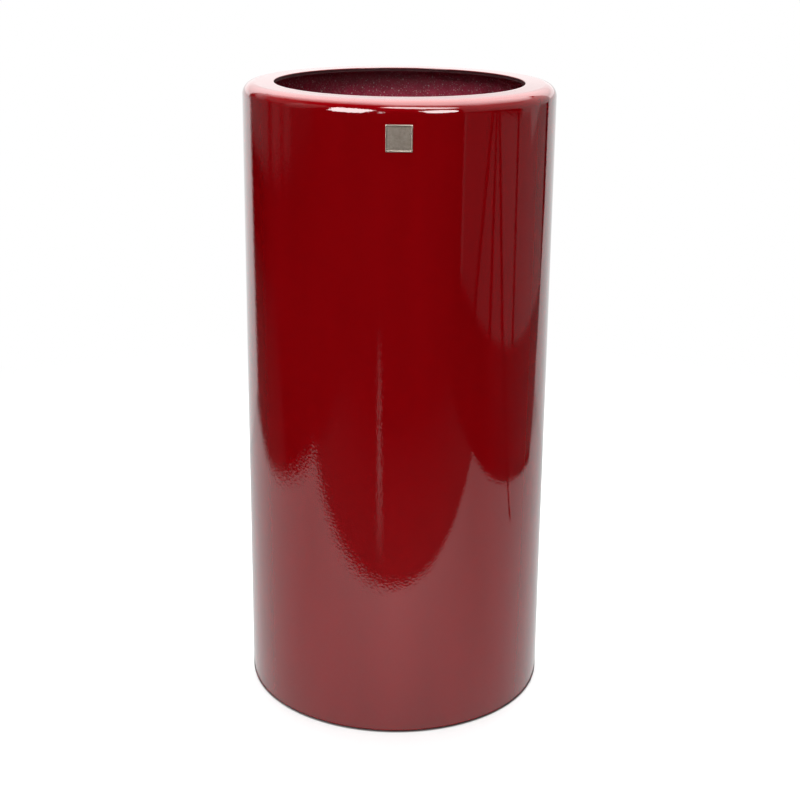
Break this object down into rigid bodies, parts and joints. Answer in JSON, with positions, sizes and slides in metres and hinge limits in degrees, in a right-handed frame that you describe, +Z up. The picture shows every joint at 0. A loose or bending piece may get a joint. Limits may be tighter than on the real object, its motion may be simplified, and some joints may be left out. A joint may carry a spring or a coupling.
{
  "type": "cylindrical floor vase",
  "caption": "Tall straight-sided round floor vase for plants, glossy red outside, with a turned-in flat rim, a raised inner floor with a drain plug, and a small square metal badge.",
  "frame": {"origin": "on the ground, on the axis of the vase, under the middle of the foot pads", "axes": "+Z up along the axis towards the mouth; the badge faces -Y"},
  "size_m": [0.39, 0.3917, 0.8],
  "materials": {
    "red_lacquer": "high-gloss red lacquer over gelcoat",
    "glass_fibre_laminate": "rough dark maroon chopped-strand laminate",
    "glass_fibre_tape": "resin-wetted glass tape, dark maroon",
    "bonding_paste": "cured polyester bonding paste, dull maroon",
    "black_rubber": "moulded matt black rubber",
    "antique_nickel": "antique nickel plating, brushed",
    "foam_tape": "closed-cell adhesive foam"
  },
  "bodies": {
    "planter": {"lacquer_skin": "red_lacquer", "laminate_shell": "glass_fibre_laminate", "base_pan": "glass_fibre_laminate", "base_bond": "bonding_paste", "raised_floor": "glass_fibre_laminate", "floor_bond": "bonding_paste", "floor_tape": "glass_fibre_tape", "foot_pads": "black_rubber", "badge_plate": "antique_nickel", "badge_tape": "foam_tape"},
    "plug": {"drain_plug": "black_rubber"}
  },
  "joints": [
    {"name": "plug_pull", "type": "slide", "parent": "planter", "child": "plug", "axis": [0, 0, 1], "range_m": [0, 0.44]}
  ]
}
